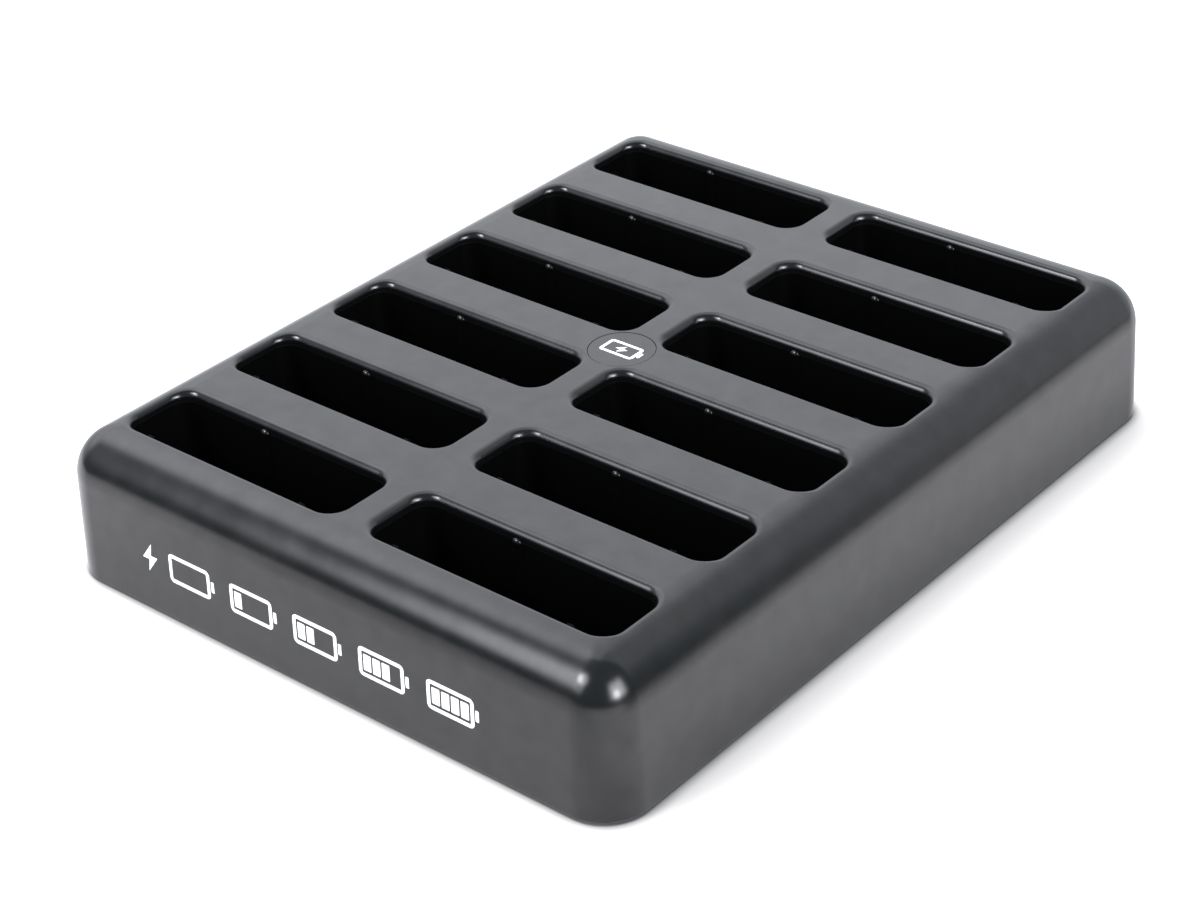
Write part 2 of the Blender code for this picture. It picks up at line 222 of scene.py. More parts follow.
def rounded_outline(half_x, half_y, radius, steps):
    """Plan points of a rectangle with round corners, anticlockwise from its +X +Y corner."""
    points = []
    for turn, (sign_x, sign_y) in enumerate(((1, 1), (-1, 1), (-1, -1), (1, -1))):
        centre_x = sign_x * (half_x - radius)
        centre_y = sign_y * (half_y - radius)
        for step in range(steps + 1):
            angle = math.radians(90.0) * (turn + step / steps)
            points.append((centre_x + radius * math.cos(angle), centre_y + radius * math.sin(angle)))
    return points


def level(points, z):
    return [(x, y, z) for x, y in points]


def circle(radius, steps):
    angles = [2.0 * math.pi * step / steps for step in range(steps)]
    return [(radius * math.cos(angle), radius * math.sin(angle)) for angle in angles]


def loft_into(bm, rings, at=(0.0, 0.0)):
    """Adds a closed solid through rings of equal length, capped at both ends, moved by at in plan."""
    loops = [[bm.verts.new((x + at[0], y + at[1], z)) for x, y, z in ring] for ring in rings]
    for lower, upper in zip(loops, loops[1:]):
        for index in range(len(lower)):
            following = (index + 1) % len(lower)
            bm.faces.new((lower[index], lower[following], upper[following], upper[index]))
    bm.faces.new(loops[0][::-1])
    bm.faces.new(loops[-1])


def lofted_mesh(name, rings, places=((0.0, 0.0),)):
    bm = bmesh.new()
    for place in places:
        loft_into(bm, rings, place)
    return finish_mesh(name, bm)


def turned_rings(profile, steps):
    """Rings of a solid of revolution about Z from (radius, z) points, listed from its foot to its top."""
    return [level(circle(radius, steps), z) for radius, z in profile]


def turned_mesh(name, profile, steps):
    return lofted_mesh(name, turned_rings(profile, steps))


def cylinder_rings(radius, low, high, steps):
    return turned_rings([(radius, low), (radius, high)], steps)


def quarter_turn(steps):
    return [math.radians(90.0) * step / steps for step in range(steps + 1)]


def arc_profile(radius, z, size, start, end, steps):
    """Profile points on a rounded edge whose arc is centred at (radius, z), angles in degrees."""
    angles = [math.radians(start + (end - start) * step / steps) for step in range(steps + 1)]
    return [(radius + size * math.cos(angle), z + size * math.sin(angle)) for angle in angles]


def combine(target, mesh, operation="DIFFERENCE"):
    """Cuts target with the solids of mesh, or joins them to it, and keeps the result as its mesh."""
    tool = add_object("tool", mesh)
    modifier = target.modifiers.new("combine", "BOOLEAN")
    modifier.operation = operation
    modifier.solver = "EXACT"
    modifier.object = tool
    bpy.context.view_layer.update()
    evaluated = target.evaluated_get(bpy.context.evaluated_depsgraph_get())
    result = bpy.data.meshes.new_from_object(evaluated)
    target.modifiers.remove(modifier)
    result.name = target.name
    target.data = result
    bpy.data.objects.remove(tool, do_unlink=True)


def turn_to_rear(mesh, foot_y):
    """Lays a solid made along +Z down along +Y on the inlet's axis."""
    low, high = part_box("dc_jack")
    for vertex in mesh.vertices:
        along = vertex.co.z
        vertex.co.z = (low.z + high.z) / 2 - vertex.co.y
        vertex.co.y = foot_y + along
    return mesh


def finish_piece(obj, material, body, slot, *nodes):
    """Dresses a piece, rides it on a body and hides the CAD nodes it replaces; slot is not used."""
    obj.data.materials.clear()
    obj.data.materials.append(material)
    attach(obj, body)
    if nodes:
        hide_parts(*nodes)


def middle(node):
    low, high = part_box(node)
    return (low + high) / 2


# Materials

class Nodes:
    """Short calls for building one node tree."""

    def __init__(self, tree):
        self.tree = tree
        self.tree.nodes.clear()

    def add(self, kind, settings=None, **inputs):
        node = self.tree.nodes.new(kind)
        for name, value in (settings or {}).items():
            setattr(node, name, value)
        return self.set(node, **inputs)

    def set(self, node, **inputs):
        """Sets or links inputs, each picked by i and its number, or by its name with _ for a space."""
        for name, value in inputs.items():
            by_number = name[0] == "i" and name[1:].isdigit()
            socket = node.inputs[int(name[1:]) if by_number else name.replace("_", " ")]
            if isinstance(value, bpy.types.NodeSocket):
                self.tree.links.new(value, socket)
            else:
                socket.default_value = value
        return node

    def axes(self):
        """Object coordinates as three sockets."""
        place = self.add("ShaderNodeTexCoord").outputs["Object"]
        return self.add("ShaderNodeSeparateXYZ", Vector=place).outputs


def noise(nodes, scale, detail=2.0, roughness=0.5):
    """Solid noise in object space; scale is the size of a feature in metres."""
    place = nodes.add("ShaderNodeTexCoord")
    return nodes.add("ShaderNodeTexNoise", Vector=place.outputs["Object"], Scale=1.0 / scale, Detail=detail,
                     Roughness=roughness).outputs["Fac"]


def spread(nodes, value, low, high, from_low=0.0, from_high=1.0):
    return nodes.add("ShaderNodeMapRange", Value=value, i1=from_low, i2=from_high, i3=low, i4=high).outputs[0]


def blend_colours(nodes, factor, first, second):
    """From the first colour to the second; each is three numbers or a colour socket."""
    first, second = [colour if isinstance(colour, bpy.types.NodeSocket) else (*colour, 1.0)
                     for colour in (first, second)]
    return nodes.add("ShaderNodeMix", {"data_type": "RGBA"}, i0=factor, i6=first, i7=second).outputs[2]


def fade(nodes, value, start, end, low, high):
    """Goes smoothly from low at start to high at end."""
    return nodes.add("ShaderNodeMapRange", {"interpolation_type": "SMOOTHSTEP"}, Value=value,
                     i1=start, i2=end, i3=low, i4=high).outputs[0]


def compute(nodes, operation, first, second=0.0):
    return nodes.add("ShaderNodeMath", {"operation": operation}, i0=first, i1=second).outputs[0]


def band(nodes, value, rise, fall):
    """1 between two smooth flanks, each given by where it starts and where it ends."""
    rising = fade(nodes, value, *rise, 0.0, 1.0)
    falling = fade(nodes, value, *fall, 1.0, 0.0)
    return compute(nodes, "MULTIPLY", rising, falling)


def bump(nodes, height, distance, **normal):
    """A bumped normal; Normal=socket lays it over another one."""
    node = nodes.add("ShaderNodeBump", Height=height, Distance=distance, Strength=1.0, **normal)
    return node.outputs["Normal"]


def empty_material(name):
    material = bpy.data.materials.new(name)
    material.use_nodes = True
    return material, Nodes(material.node_tree)


def new_material(name):
    material, nodes = empty_material(name)
    shader = nodes.add("ShaderNodeBsdfPrincipled")
    nodes.add("ShaderNodeOutputMaterial", i0=shader.outputs[0])
    return material, nodes, shader


def moulded_plastic(name, dark, light, roughness, grain, wave=0.03 * MM, dull_and_shaded_box=None):
    """Satin moulded plastic: faint flow shading, a fine grain, and the slow waviness of a large moulding.

    grain and wave are heights. Inside the box given last (half x, half y, top) the plastic is left rough from
    the tool, and its colour and gloss are turned down there as painted shade.
    """
    material, nodes, shader = new_material(name)
    slow = bump(nodes, noise(nodes, WAVE_SIZE, 1.0), wave)
    fine = bump(nodes, noise(nodes, GRAIN_SIZE, 3.0, 0.6), grain, Normal=slow)
    polish = noise(nodes, POLISH_SIZE, 4.0)
    rough = spread(nodes, polish, roughness - 0.03, roughness + 0.03, 0.3, 0.7)
    gloss = spread(nodes, noise(nodes, GLOSS_SIZE, 3.0, 0.6), 0.45, 0.55, 0.3, 0.7)
    colour = blend_colours(nodes, noise(nodes, FLOW_SIZE, 3.0), dark, light)
    # Painted shade in the wells: inside the box the colour is darker and the gloss lower
    if dull_and_shaded_box:
        inside = inside_box(nodes, *dull_and_shaded_box)
        rough = spread(nodes, inside, rough, DULL_ROUGHNESS)
        gloss = spread(nodes, inside, gloss, PAINTED_SHADE_GLOSS)
        colour = blend_colours(nodes, inside, colour, [WELL_PAINTED_SHADE * part for part in dark])
    nodes.set(shader, Base_Color=colour, Roughness=rough, IOR=1.5, Specular_IOR_Level=gloss, Normal=fine)
    return material


def inside_box(nodes, half_x, half_y, top):
    """1 within a box about the origin in object space, fading to 0 over a millimetre at its faces."""
    axes = nodes.axes()
    inside = spread(nodes, axes[2], 1.0, 0.0, top - MM, top)
    for axis, half in zip(axes, (half_x, half_y)):
        within = spread(nodes, compute(nodes, "ABSOLUTE", axis), 1.0, 0.0, half - MM, half)
        inside = compute(nodes, "MULTIPLY", inside, within)
    return inside


def rubber():
    material, nodes, shader = new_material("foot_rubber")
    grain = bump(nodes, noise(nodes, 0.3 * MM, 3.0, 0.7), 0.03 * MM)
    bloom = blend_colours(nodes, noise(nodes, 3.0 * MM), (0.010, 0.010, 0.010), (0.022, 0.022, 0.023))
    nodes.set(shader, Base_Color=bloom, Roughness=0.78, Normal=grain)
    return material


def metal(name, dark, light, roughness, grain):
    material, nodes, shader = new_material(name)
    scuffs = noise(nodes, 1.2 * MM, 5.0, 0.7)
    nodes.set(shader, Base_Color=blend_colours(nodes, scuffs, dark, light), Metallic=1.0,
              Roughness=spread(nodes, scuffs, roughness - 0.06, roughness + 0.08),
              Normal=bump(nodes, noise(nodes, 0.2 * MM, 3.0), grain))
    return material


def board_laminate():
    """Green solder mask with the faint relief of tracks running along the board."""
    material, nodes, shader = new_material("board_laminate")
    place = nodes.add("ShaderNodeTexCoord")
    stretched = nodes.add("ShaderNodeMapping", Vector=place.outputs["Object"], Scale=(1.0, 0.06, 1.0))
    cells = nodes.add("ShaderNodeTexVoronoi", {"feature": "DISTANCE_TO_EDGE"}, Vector=stretched.outputs[0],
                      Scale=1.0 / (2.6 * MM))
    tracks = spread(nodes, cells.outputs["Distance"], 0.0, 1.0, 0.04, 0.10)
    nodes.set(shader, Base_Color=blend_colours(nodes, tracks, (0.012, 0.075, 0.030), (0.022, 0.130, 0.052)),
              Roughness=0.34, Normal=bump(nodes, tracks, 0.03 * MM))
    return material


def ink():
    """Pad-printed white: not quite even, and a little rough where it is thin."""
    material, nodes, shader = new_material("mark_white")
    cover = noise(nodes, 1.5 * MM, 4.0, 0.6)
    nodes.set(shader, Base_Color=blend_colours(nodes, cover, (0.80, 0.81, 0.82), (0.92, 0.93, 0.94)),
              Roughness=spread(nodes, cover, 0.38, 0.5), Normal=bump(nodes, cover, 0.01 * MM))
    return material


# Shape of the moulding

TILT = math.atan(DRAFT)
SIDE_TOP = TOP - EDGE_FILLET + EDGE_FILLET * math.sin(TILT)
FILLET_CENTRE = DRAFT * (SIDE_TOP - RIM) + EDGE_FILLET * math.cos(TILT)


def depth_inside(x, y):
    """How far a plan point lies inside the rim's outline."""
    over_x = abs(x) - (WIDTH / 2 - CORNER)
    over_y = abs(y) - (LENGTH / 2 - CORNER)
    outside = math.hypot(max(over_x, 0.0), max(over_y, 0.0)) + min(max(over_x, over_y), 0.0)
    return CORNER - outside


def top_height(x, y):
    """Height of the shell's outer skin over a plan point on its flat top or its edge fillet."""
    short = max(FILLET_CENTRE - depth_inside(x, y), 0.0)
    return TOP - EDGE_FILLET + math.sqrt(max(EDGE_FILLET ** 2 - short ** 2, 0.0))


def corner_radius(depth):
    """Plan radius of the corners a depth inside the rim; it eases to a small one near the top."""
    left = CORNER - depth
    return 0.5 * (left + math.hypot(left, CORNER_EASE))


def body_ring(depth, z, corner_steps):
    outline = rounded_outline(WIDTH / 2 - depth, LENGTH / 2 - depth, corner_radius(depth), corner_steps)
    return level(outline, z)


def fillet_profile(fillet, top, steps):
    """(depth inside the rim, height) pairs up an edge fillet, from the drafted side to the flat top."""
    angles = [TILT + (math.radians(90.0) - TILT) * step / steps for step in range(steps + 1)]
    return [(FILLET_CENTRE - fillet * math.cos(angle), top - fillet * (1.0 - math.sin(angle)))
            for angle in angles]


def body_rings(fillet_steps, corner_steps):
    """Outer skin from the rounded rim up the drafted sides and over the fillet to the top."""
    profile = [(RIM_ROUND * (1.0 - math.sin(angle)), RIM + RIM_ROUND * (1.0 - math.cos(angle)))
               for angle in quarter_turn(3)]
    profile += fillet_profile(EDGE_FILLET, TOP, fillet_steps)
    return [body_ring(depth, z, corner_steps) for depth, z in profile]


def cavity_rings():
    """The hollow under the shell, a wall's thickness inside its skin."""
    profile = [(WALL, RIM - 2.0 * MM)] + fillet_profile(EDGE_FILLET - WALL, TOP - WALL, 6)
    return [body_ring(depth, z, 8) for depth, z in profile]


def bay_places():
    """Middle of every bay in plan: the left column from front to back, then the right column."""
    rows = [(row - (ROWS - 1) / 2) * ROW_PITCH for row in range(ROWS)]
    return [(side * COLUMN_PITCH / 2, y) for side in (-1, 1) for y in rows]


def well_outline(grow):
    return rounded_outline(WELL_X / 2 + grow, WELL_Y / 2 + grow, WELL_CORNER + grow, WELL_CORNER_STEPS)


def well_rings(place):
    """Space inside one well: its floor, its drafted walls and a lip that rolls on to the skin round it."""
    centre_x, centre_y = place
    shrink = WELL_DRAFT * (TOP - LIP - WELL_FLOOR)
    rings = []
    for angle in quarter_turn(4):
        inset = shrink + FLOOR_ROUND * (1.0 - math.sin(angle))
        rings.append(level(well_outline(-inset), WELL_FLOOR + FLOOR_ROUND * (1.0 - math.cos(angle))))
    for step in range(LIP_STEPS + 1):
        angle = LIP_END * step / LIP_STEPS
        ring = []
        for x, y in well_outline(LIP * (1.0 - math.cos(angle))):
            skin = top_height(centre_x + x, centre_y + y)
            ring.append((x, y, skin - LIP * (1.0 - math.sin(angle))))
        rings.append(ring)
    rings.append([(x, y, TOP + MM) for x, y, z in rings[-1]])
    return rings


def rib_rings(width, heights):
    """A half-round guide rib against a drafted wall; heights pairs a level with how proud it is there."""
    rings = []
    for z, proud in heights:
        reach = proud + WELL_DRAFT * max(TOP - LIP - z, 0.0)
        rings.append(level([(x * width / 2, y * reach) for x, y in circle(1.0, 16)], z))
    return rings


def front_ribs():
    """Two on each well's front wall, which die away in the lip."""
    heights = ((WELL_FLOOR - MM, FRONT_RIB_PROUD), (TOP - LIP, FRONT_RIB_PROUD),
               (TOP - 0.35 * LIP, 0.02 * MM))
    places = [(x + side * FRONT_RIB_X, y - WELL_Y / 2) for x, y in bay_places() for side in (-1, 1)]
    return lofted_mesh("front_ribs", rib_rings(FRONT_RIB_WIDTH, heights), places)


def rear_ribs():
    """One on each well's rear wall, with a rounded top just under the lip."""
    heights = ((WELL_FLOOR - MM, REAR_RIB_PROUD), (REAR_RIB_TOP, REAR_RIB_PROUD))
    places = [(x + REAR_RIB_X, y + WELL_Y / 2) for x, y in bay_places()]
    return lofted_mesh("rear_ribs", rib_rings(REAR_RIB_WIDTH, heights), places)


def rear_rib_tops():
    """Domes a little wider and prouder than the ribs, so that they cover the ribs' flat ends."""
    bm = bmesh.new()
    half = REAR_RIB_WIDTH / 2
    shape = Matrix.Diagonal((half * 1.02, REAR_RIB_PROUD * 1.15, half, 1.0))
    for x, y in bay_places():
        place = Matrix.Translation((x + REAR_RIB_X, y + WELL_Y / 2, REAR_RIB_TOP))
        bmesh.ops.create_uvsphere(bm, u_segments=24, v_segments=16, radius=1.0, matrix=place @ shape)
    return finish_mesh("rear_rib_tops", bm)


def island_rings():
    """What stands in the cavity round a well: the well's own walls and floor."""
    shrink = WELL_DRAFT * (TOP - WELL_FLOOR)
    low = well_outline(WELL_WALL - shrink)
    return [level(low, WELL_FLOOR - WELL_WALL), level(well_outline(WELL_WALL), TOP - MM)]


def pin_places():
    return [(x + side * PIN_SPACING / 2, y) for x, y in bay_places() for side in (-1, 1)]


def screw_places():
    return [(middle(f"base_screw_{number}").x, middle(f"base_screw_{number}").y) for number in range(1, 9)]


def make_cavity():
    cavity = add_object("cavity", lofted_mesh("cavity", cavity_rings()))
    combine(cavity, lofted_mesh("islands", island_rings(), bay_places()))
    boss_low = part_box("base_screw_1")[1].z - BOSS_GRIP
    boss = cylinder_rings(BOSS_RADIUS, boss_low, TOP - MM, 24)
    combine(cavity, lofted_mesh("bosses", boss, screw_places()))
    return cavity


def make_wells():
    bm = bmesh.new()
    for place in bay_places():
        loft_into(bm, well_rings(place), place)
    wells = add_object("wells", finish_mesh("wells", bm))
    for ribs in (front_ribs(), rear_ribs(), rear_rib_tops()):
        combine(wells, ribs)
    return wells


def make_shell(material):
    shell = add_object("tray_shell", lofted_mesh("tray_shell", body_rings(20, 20)))
    for hollow in (make_cavity(), make_wells()):
        combine(shell, hollow.data)
        bpy.data.objects.remove(hollow, do_unlink=True)
    hole = cylinder_rings(PIN_HOLE_RADIUS, WELL_FLOOR - 2 * WELL_WALL, WELL_FLOOR + MM, 24)
    combine(shell, lofted_mesh("pin_holes", hole, pin_places()))
    combine(shell, lofted_mesh("pilots", cylinder_rings(PILOT_RADIUS, 0.0, PILOT_DEPTH, 16), screw_places()))
    badge_low, badge_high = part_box("badge_disc")
    recess = cylinder_rings(badge_high.x + 0.2 * MM, badge_low.z - GAP, TOP + MM, 96)
    combine(shell, lofted_mesh("recess", recess))
    nose_hole = lofted_mesh("nose_hole", cylinder_rings(JACK_NOSE_RADIUS + GAP, 0.0, 2 * WALL, 48))
    combine(shell, turn_to_rear(nose_hole, LENGTH / 2 - 1.7 * WALL))
    shade(shell)
    finish_piece(shell, material, "tray", "shell_plastic", "top_shell")
    return shell


# Badge and print

def make_badge(material):
    low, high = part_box("badge_disc")
    edge = 0.15 * MM
    profile = [(high.x - edge, low.z), (high.x, low.z + edge)]
    profile += arc_profile(high.x - edge, high.z - edge, edge, 0.0, 90.0, 3)
    badge = add_object("badge", turned_mesh("badge", profile, 96))
    shade(badge)
    finish_piece(badge, material, "tray", "badge_plastic", "badge_disc")


def bolt_outline(width, height):
    """A lightning bolt about the origin, the common sign for charging."""
    shape = ((0.30, 1.0), (-1.0, -0.14), (-0.12, -0.14), (-0.30, -1.0), (1.0, 0.14), (0.12, 0.14))
    return [(x * width / 2, y * height / 2) for x, y in shape]


def moved(points, u, v):
    return [(x + u, y + v) for x, y in points]


def print_solid(bm, place, outline, hole=None):
    """Adds one printed shape as a thin closed solid; place maps (u, v, lift) to the printed surface."""
    lifts = (-INK_SUNK, INK_PROUD)
    loops = [[bm.verts.new(place(u, v, lift)) for u, v in outline] for lift in lifts]
    if hole is None:
        bm.faces.new(loops[0][::-1])
        bm.faces.new(loops[1])
        pairs = [loops]
    else:
        inner = [[bm.verts.new(place(u, v, lift)) for u, v in hole] for lift in lifts]
        pairs = [loops, inner, (loops[0], inner[0]), (loops[1], inner[1])]
    for first, second in pairs:
        for index in range(len(first)):
            following = (index + 1) % len(first)
            bm.faces.new((first[index], first[following], second[following], second[index]))


def print_battery(bm, place, u, v, width, height, stroke, bars, bolt=False):
    """A battery sign with its left lower corner at (u, v): outline, terminal, and level bars or a bolt."""
    terminal = 0.09 * width
    body = width - terminal
    centre_u = u + body / 2
    centre_v = v + height / 2
    round_off = 0.17 * height
    outer = rounded_outline(body / 2, height / 2, round_off, 6)
    inner = rounded_outline(body / 2 - stroke, height / 2 - stroke, max(round_off - stroke, 0.2 * MM), 6)
    print_solid(bm, place, moved(outer, centre_u, centre_v), moved(inner, centre_u, centre_v))
    cap = rounded_outline(0.36 * terminal, 0.19 * height, 0.3 * MM, 4)
    print_solid(bm, place, moved(cap, u + width - 0.36 * terminal, centre_v))
    if bolt:
        print_solid(bm, place, moved(bolt_outline(0.34 * body, height - 3.2 * stroke), centre_u, centre_v))
    step = (body - 2 * stroke - 0.5 * stroke) / 4
    for bar in range(bars):
        shape = rounded_outline((step - 0.5 * stroke) / 2, height / 2 - 1.7 * stroke, 0.35 * MM, 3)
        print_solid(bm, place, moved(shape, u + 1.5 * stroke + step * (bar + 0.5) - 0.25 * stroke, centre_v))


def on_front(u, v, lift):
    """A point on the drafted front face: u along X, v is the height, lift stands out of the face."""
    return (u, -LENGTH / 2 + DRAFT * (v - RIM) - lift, v)


def on_badge(u, v, lift):
    return (u, v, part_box("badge_disc")[1].z + lift)


def make_front_print(material):
    """Charge signs along the front: a bolt, then five batteries from empty to full."""
    bm = bmesh.new()
    bolt_width = 7.5 * MM
    bolt = bolt_outline(bolt_width, FRONT_PRINT_HEIGHT)
    centre_v = FRONT_PRINT_LOW + FRONT_PRINT_HEIGHT / 2
    print_solid(bm, on_front, moved(bolt, FRONT_PRINT_LEFT + bolt_width / 2, centre_v))
    width = 22.4 * MM
    pitch = 30.2 * MM
    first = FRONT_PRINT_LEFT + bolt_width + 6.0 * MM
    for bars in range(5):
        left = first + bars * pitch
        print_battery(bm, on_front, left, FRONT_PRINT_LOW, width, FRONT_PRINT_HEIGHT, STROKE, bars)
    obj = add_object("front_print", finish_mesh("front_print", bm))
    finish_piece(obj, material, "tray", "mark_white")


def make_badge_print(material):
    bm = bmesh.new()
    width = 16.5 * MM
    height = 8.6 * MM
    print_battery(bm, on_badge, -0.46 * width, -0.5 * height, width, height, 1.15 * MM, 0, bolt=True)
    obj = add_object("badge_print", finish_mesh("badge_print", bm))
    finish_piece(obj, material, "tray", "mark_white")


# Contacts

def make_contact_pins(material):
    """Turned pins with a rounded nose and a retaining collar."""
    low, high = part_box("contact_pin_01_minus")
    nose = 1.25 * MM
    collar = 1.75 * MM
    collar_top = 14.2 * MM
    chamfer = 0.15 * MM
    profile = [(collar - chamfer, low.z), (collar, low.z + chamfer), (collar, collar_top - chamfer)]
    profile += [(collar - chamfer, collar_top), (nose, collar_top), (nose, high.z - nose)]
    profile += arc_profile(0.0, high.z - nose, nose, 0.0, 86.0, 8)[1:]
    mesh = turned_mesh("contact_pin", profile, 24)
    for number, place in enumerate(pin_places()):
        name = f"{number // 2 + 1:02d}_" + ("minus", "plus")[number % 2]
        pin = add_object(f"spring_pin_{name}", mesh)
        pin.location = (*place, 0.0)
        shade(pin)
        finish_piece(pin, material, f"contact_pin_{name}", "contact_gold", f"contact_pin_{name}")


# Underside

def make_feet(material):
    """Moulded feet: a flat rim round a shallow dish."""
    low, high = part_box("rubber_foot_1")
    radius = (high.x - low.x) / 2
    edge = 0.8 * MM
    chamfer = 0.2 * MM
    dish = radius - 3.2 * MM
    dish_depth = 0.35 * MM
    profile = [(0.3 * MM, dish_depth), (dish - 0.6 * MM, dish_depth), (dish, 0.0)]
    profile += arc_profile(radius - edge, edge, edge, -90.0, 0.0, 5)
    profile += [(radius, high.z - chamfer), (radius - chamfer, high.z)]
    mesh = turned_mesh("foot", profile, 48)
    for number in range(1, 5):
        node = f"rubber_foot_{number}"
        foot = add_object(f"foot_{number}", mesh)
        foot.location = (middle(node).x, middle(node).y, 0.0)
        shade(foot)
        finish_piece(foot, material, "tray", "foot_rubber", node)


def make_screws(material):
    """Pan-head screws with a cross recess, seen from below."""
    low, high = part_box("base_screw_1")
    head = 3.2 * MM
    head_top = 2.8 * MM
    shank = 1.45 * MM
    dome = 0.7 * MM
    profile = [(0.4 * MM, low.z), (0.45 * head, low.z + 0.04 * MM)]
    profile += arc_profile(head - dome, low.z + dome, dome, -80.0, 0.0, 5)
    profile += [(head, head_top), (shank, head_top), (shank, high.z - 1.2 * MM), (0.3 * MM, high.z)]
    screw = add_object("screw", turned_mesh("screw", profile, 40))
    recess_depth = 1.0 * MM
    reach = 1.9 * MM
    half_width = 0.35 * MM
    taper = 0.45
    arm = [(reach, half_width), (-reach, half_width), (-reach, -half_width), (reach, -half_width)]
    for mouth in (arm, [(y, x) for x, y in arm][::-1]):
        foot = [(taper * x, taper * y) for x, y in mouth]
        rings = [level(mouth, low.z - 0.2 * MM), level(foot, low.z + recess_depth)]
        combine(screw, lofted_mesh("arm", rings))
    mesh = screw.data
    bpy.data.objects.remove(screw, do_unlink=True)
    for number, place in enumerate(screw_places(), 1):
        obj = add_object(f"screw_{number}", mesh)
        obj.location = (*place, 0.0)
        shade(obj, 30.0)
        finish_piece(obj, material, "tray", "screw_steel", f"base_screw_{number}")


def make_base(material):
    """The plate that closes the tray: rounded edges, counterbores, foot recesses, a blank label field."""
    low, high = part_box("base_plate")
    plate_top = 4.5 * MM
    corner = CORNER - WALL - 0.5 * MM
    edge = 0.4 * MM
    rings = []
    for angle in quarter_turn(3):
        inset = edge * (1.0 - math.sin(angle))
        outline = rounded_outline(high.x - inset, high.y - inset, corner - inset, 12)
        rings.append(level(outline, low.z + edge * (1.0 - math.cos(angle))))
    rings.append(level(rounded_outline(high.x, high.y, corner, 12), plate_top))
    base = add_object("base", lofted_mesh("base", rings))
    post_radius = 2.0 * MM
    posts = cylinder_rings(post_radius, low.z + MM, high.z, 24)
    combine(base, lofted_mesh("posts", posts, post_places()), "UNION")
    foot_radius = (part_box("rubber_foot_1")[1].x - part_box("rubber_foot_1")[0].x) / 2
    feet = [(middle(f"rubber_foot_{number}").x, middle(f"rubber_foot_{number}").y) for number in range(1, 5)]
    recess_top = 2.3 * MM
    combine(base, lofted_mesh("recesses", cylinder_rings(foot_radius + GAP, 0.0, recess_top, 48), feet))
    bore = 3.8 * MM
    bore_top = 3.1 * MM
    chamfer = 0.5 * MM
    profile = [(bore + chamfer, 0.0), (bore + chamfer, low.z), (bore, low.z + chamfer), (bore, bore_top)]
    combine(base, lofted_mesh("counterbores", turned_rings(profile, 32), screw_places()))
    hole = cylinder_rings(PILOT_RADIUS, 0.0, high.z + MM, 24)
    combine(base, lofted_mesh("screw_holes", hole, screw_places()))
    label_half_x = 32.0 * MM
    label_half_y = 18.0 * MM
    label_corner = 2.0 * MM
    label_depth = 0.3 * MM
    label_y = 95.0 * MM
    label = [level(rounded_outline(label_half_x + grow, label_half_y + grow, label_corner + grow, 6), z)
             for grow, z in ((label_depth, 0.0), (label_depth, low.z), (0.0, low.z + label_depth))]
    combine(base, lofted_mesh("label_field", label, [(0.0, label_y)]))
    shade(base)
    finish_piece(base, material, "tray", "base_plastic", "base_plate")


def post_places():
    """Under each charge board three pairs of posts, under the power board two pairs."""
    places = []
    inset = 4.0 * MM
    for name in ("charge_board_left", "charge_board_right"):
        low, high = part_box(name)
        for row in (-2, 0, 2):
            places += [(low.x + inset, row * ROW_PITCH), (high.x - inset, row * ROW_PITCH)]
    low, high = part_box("power_board")
    for x in (low.x + 8.0 * MM, high.x - 8.0 * MM):
        places += [(x, low.y + 5.0 * MM), (x, high.y - 5.0 * MM)]
    return places


# DC inlet

def make_jack(plastic):
    low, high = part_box("dc_jack")
    body_end = 158.0 * MM
    half_x = (high.x - low.x) / 2
    edge = 0.3 * MM
    outline = rounded_outline(half_x, (body_end - low.y) / 2, edge, 3)
    body = [level(outline, z) for z in (low.z, high.z)]
    jack = add_object("inlet", lofted_mesh("inlet", body, [(0.0, (low.y + body_end) / 2)]))
    length = high.y - body_end + MM
    chamfer = 0.35 * MM
    profile = [(JACK_NOSE_RADIUS, 0.0), (JACK_NOSE_RADIUS, length - chamfer)]
    profile += [(JACK_NOSE_RADIUS - chamfer, length)]
    nose = turned_mesh("nose", profile, 64)
    combine(jack, turn_to_rear(nose, body_end - MM), "UNION")
    flare = 0.3 * MM
    mouth = JACK_SOCKET_RADIUS + flare
    profile = [(JACK_SOCKET_RADIUS, 0.0), (JACK_SOCKET_RADIUS, JACK_SOCKET_DEPTH - flare)]
    profile += [(mouth, JACK_SOCKET_DEPTH), (mouth, JACK_SOCKET_DEPTH + MM)]
    socket = turned_mesh("socket", profile, 64)
    combine(jack, turn_to_rear(socket, high.y - JACK_SOCKET_DEPTH))
    shade(jack)
    finish_piece(jack, plastic, "tray", "jack_plastic", "dc_jack")


def make_jack_pin(material):
    low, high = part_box("dc_jack_pin")
    radius = (high.x - low.x) / 2
    length = high.y - low.y
    tip = 0.45 * MM
    profile = [(radius, 0.0)] + arc_profile(radius - tip, length - tip, tip, 0.0, 90.0, 5)
    mesh = turned_mesh("inlet_pin", profile, 32)
    pin = add_object("inlet_pin", turn_to_rear(mesh, low.y))
    shade(pin)
    finish_piece(pin, material, "tray", "contact_gold", "dc_jack_pin")


def dress_inner_nodes(materials):
    """The parts inside the tray keep their CAD shape; each gets the material whose word is in its name."""
    for name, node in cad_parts.items():
        for word, material in materials.items():
            if word in name:
                node.data.materials.clear()
                node.data.materials.append(material)


# Studio

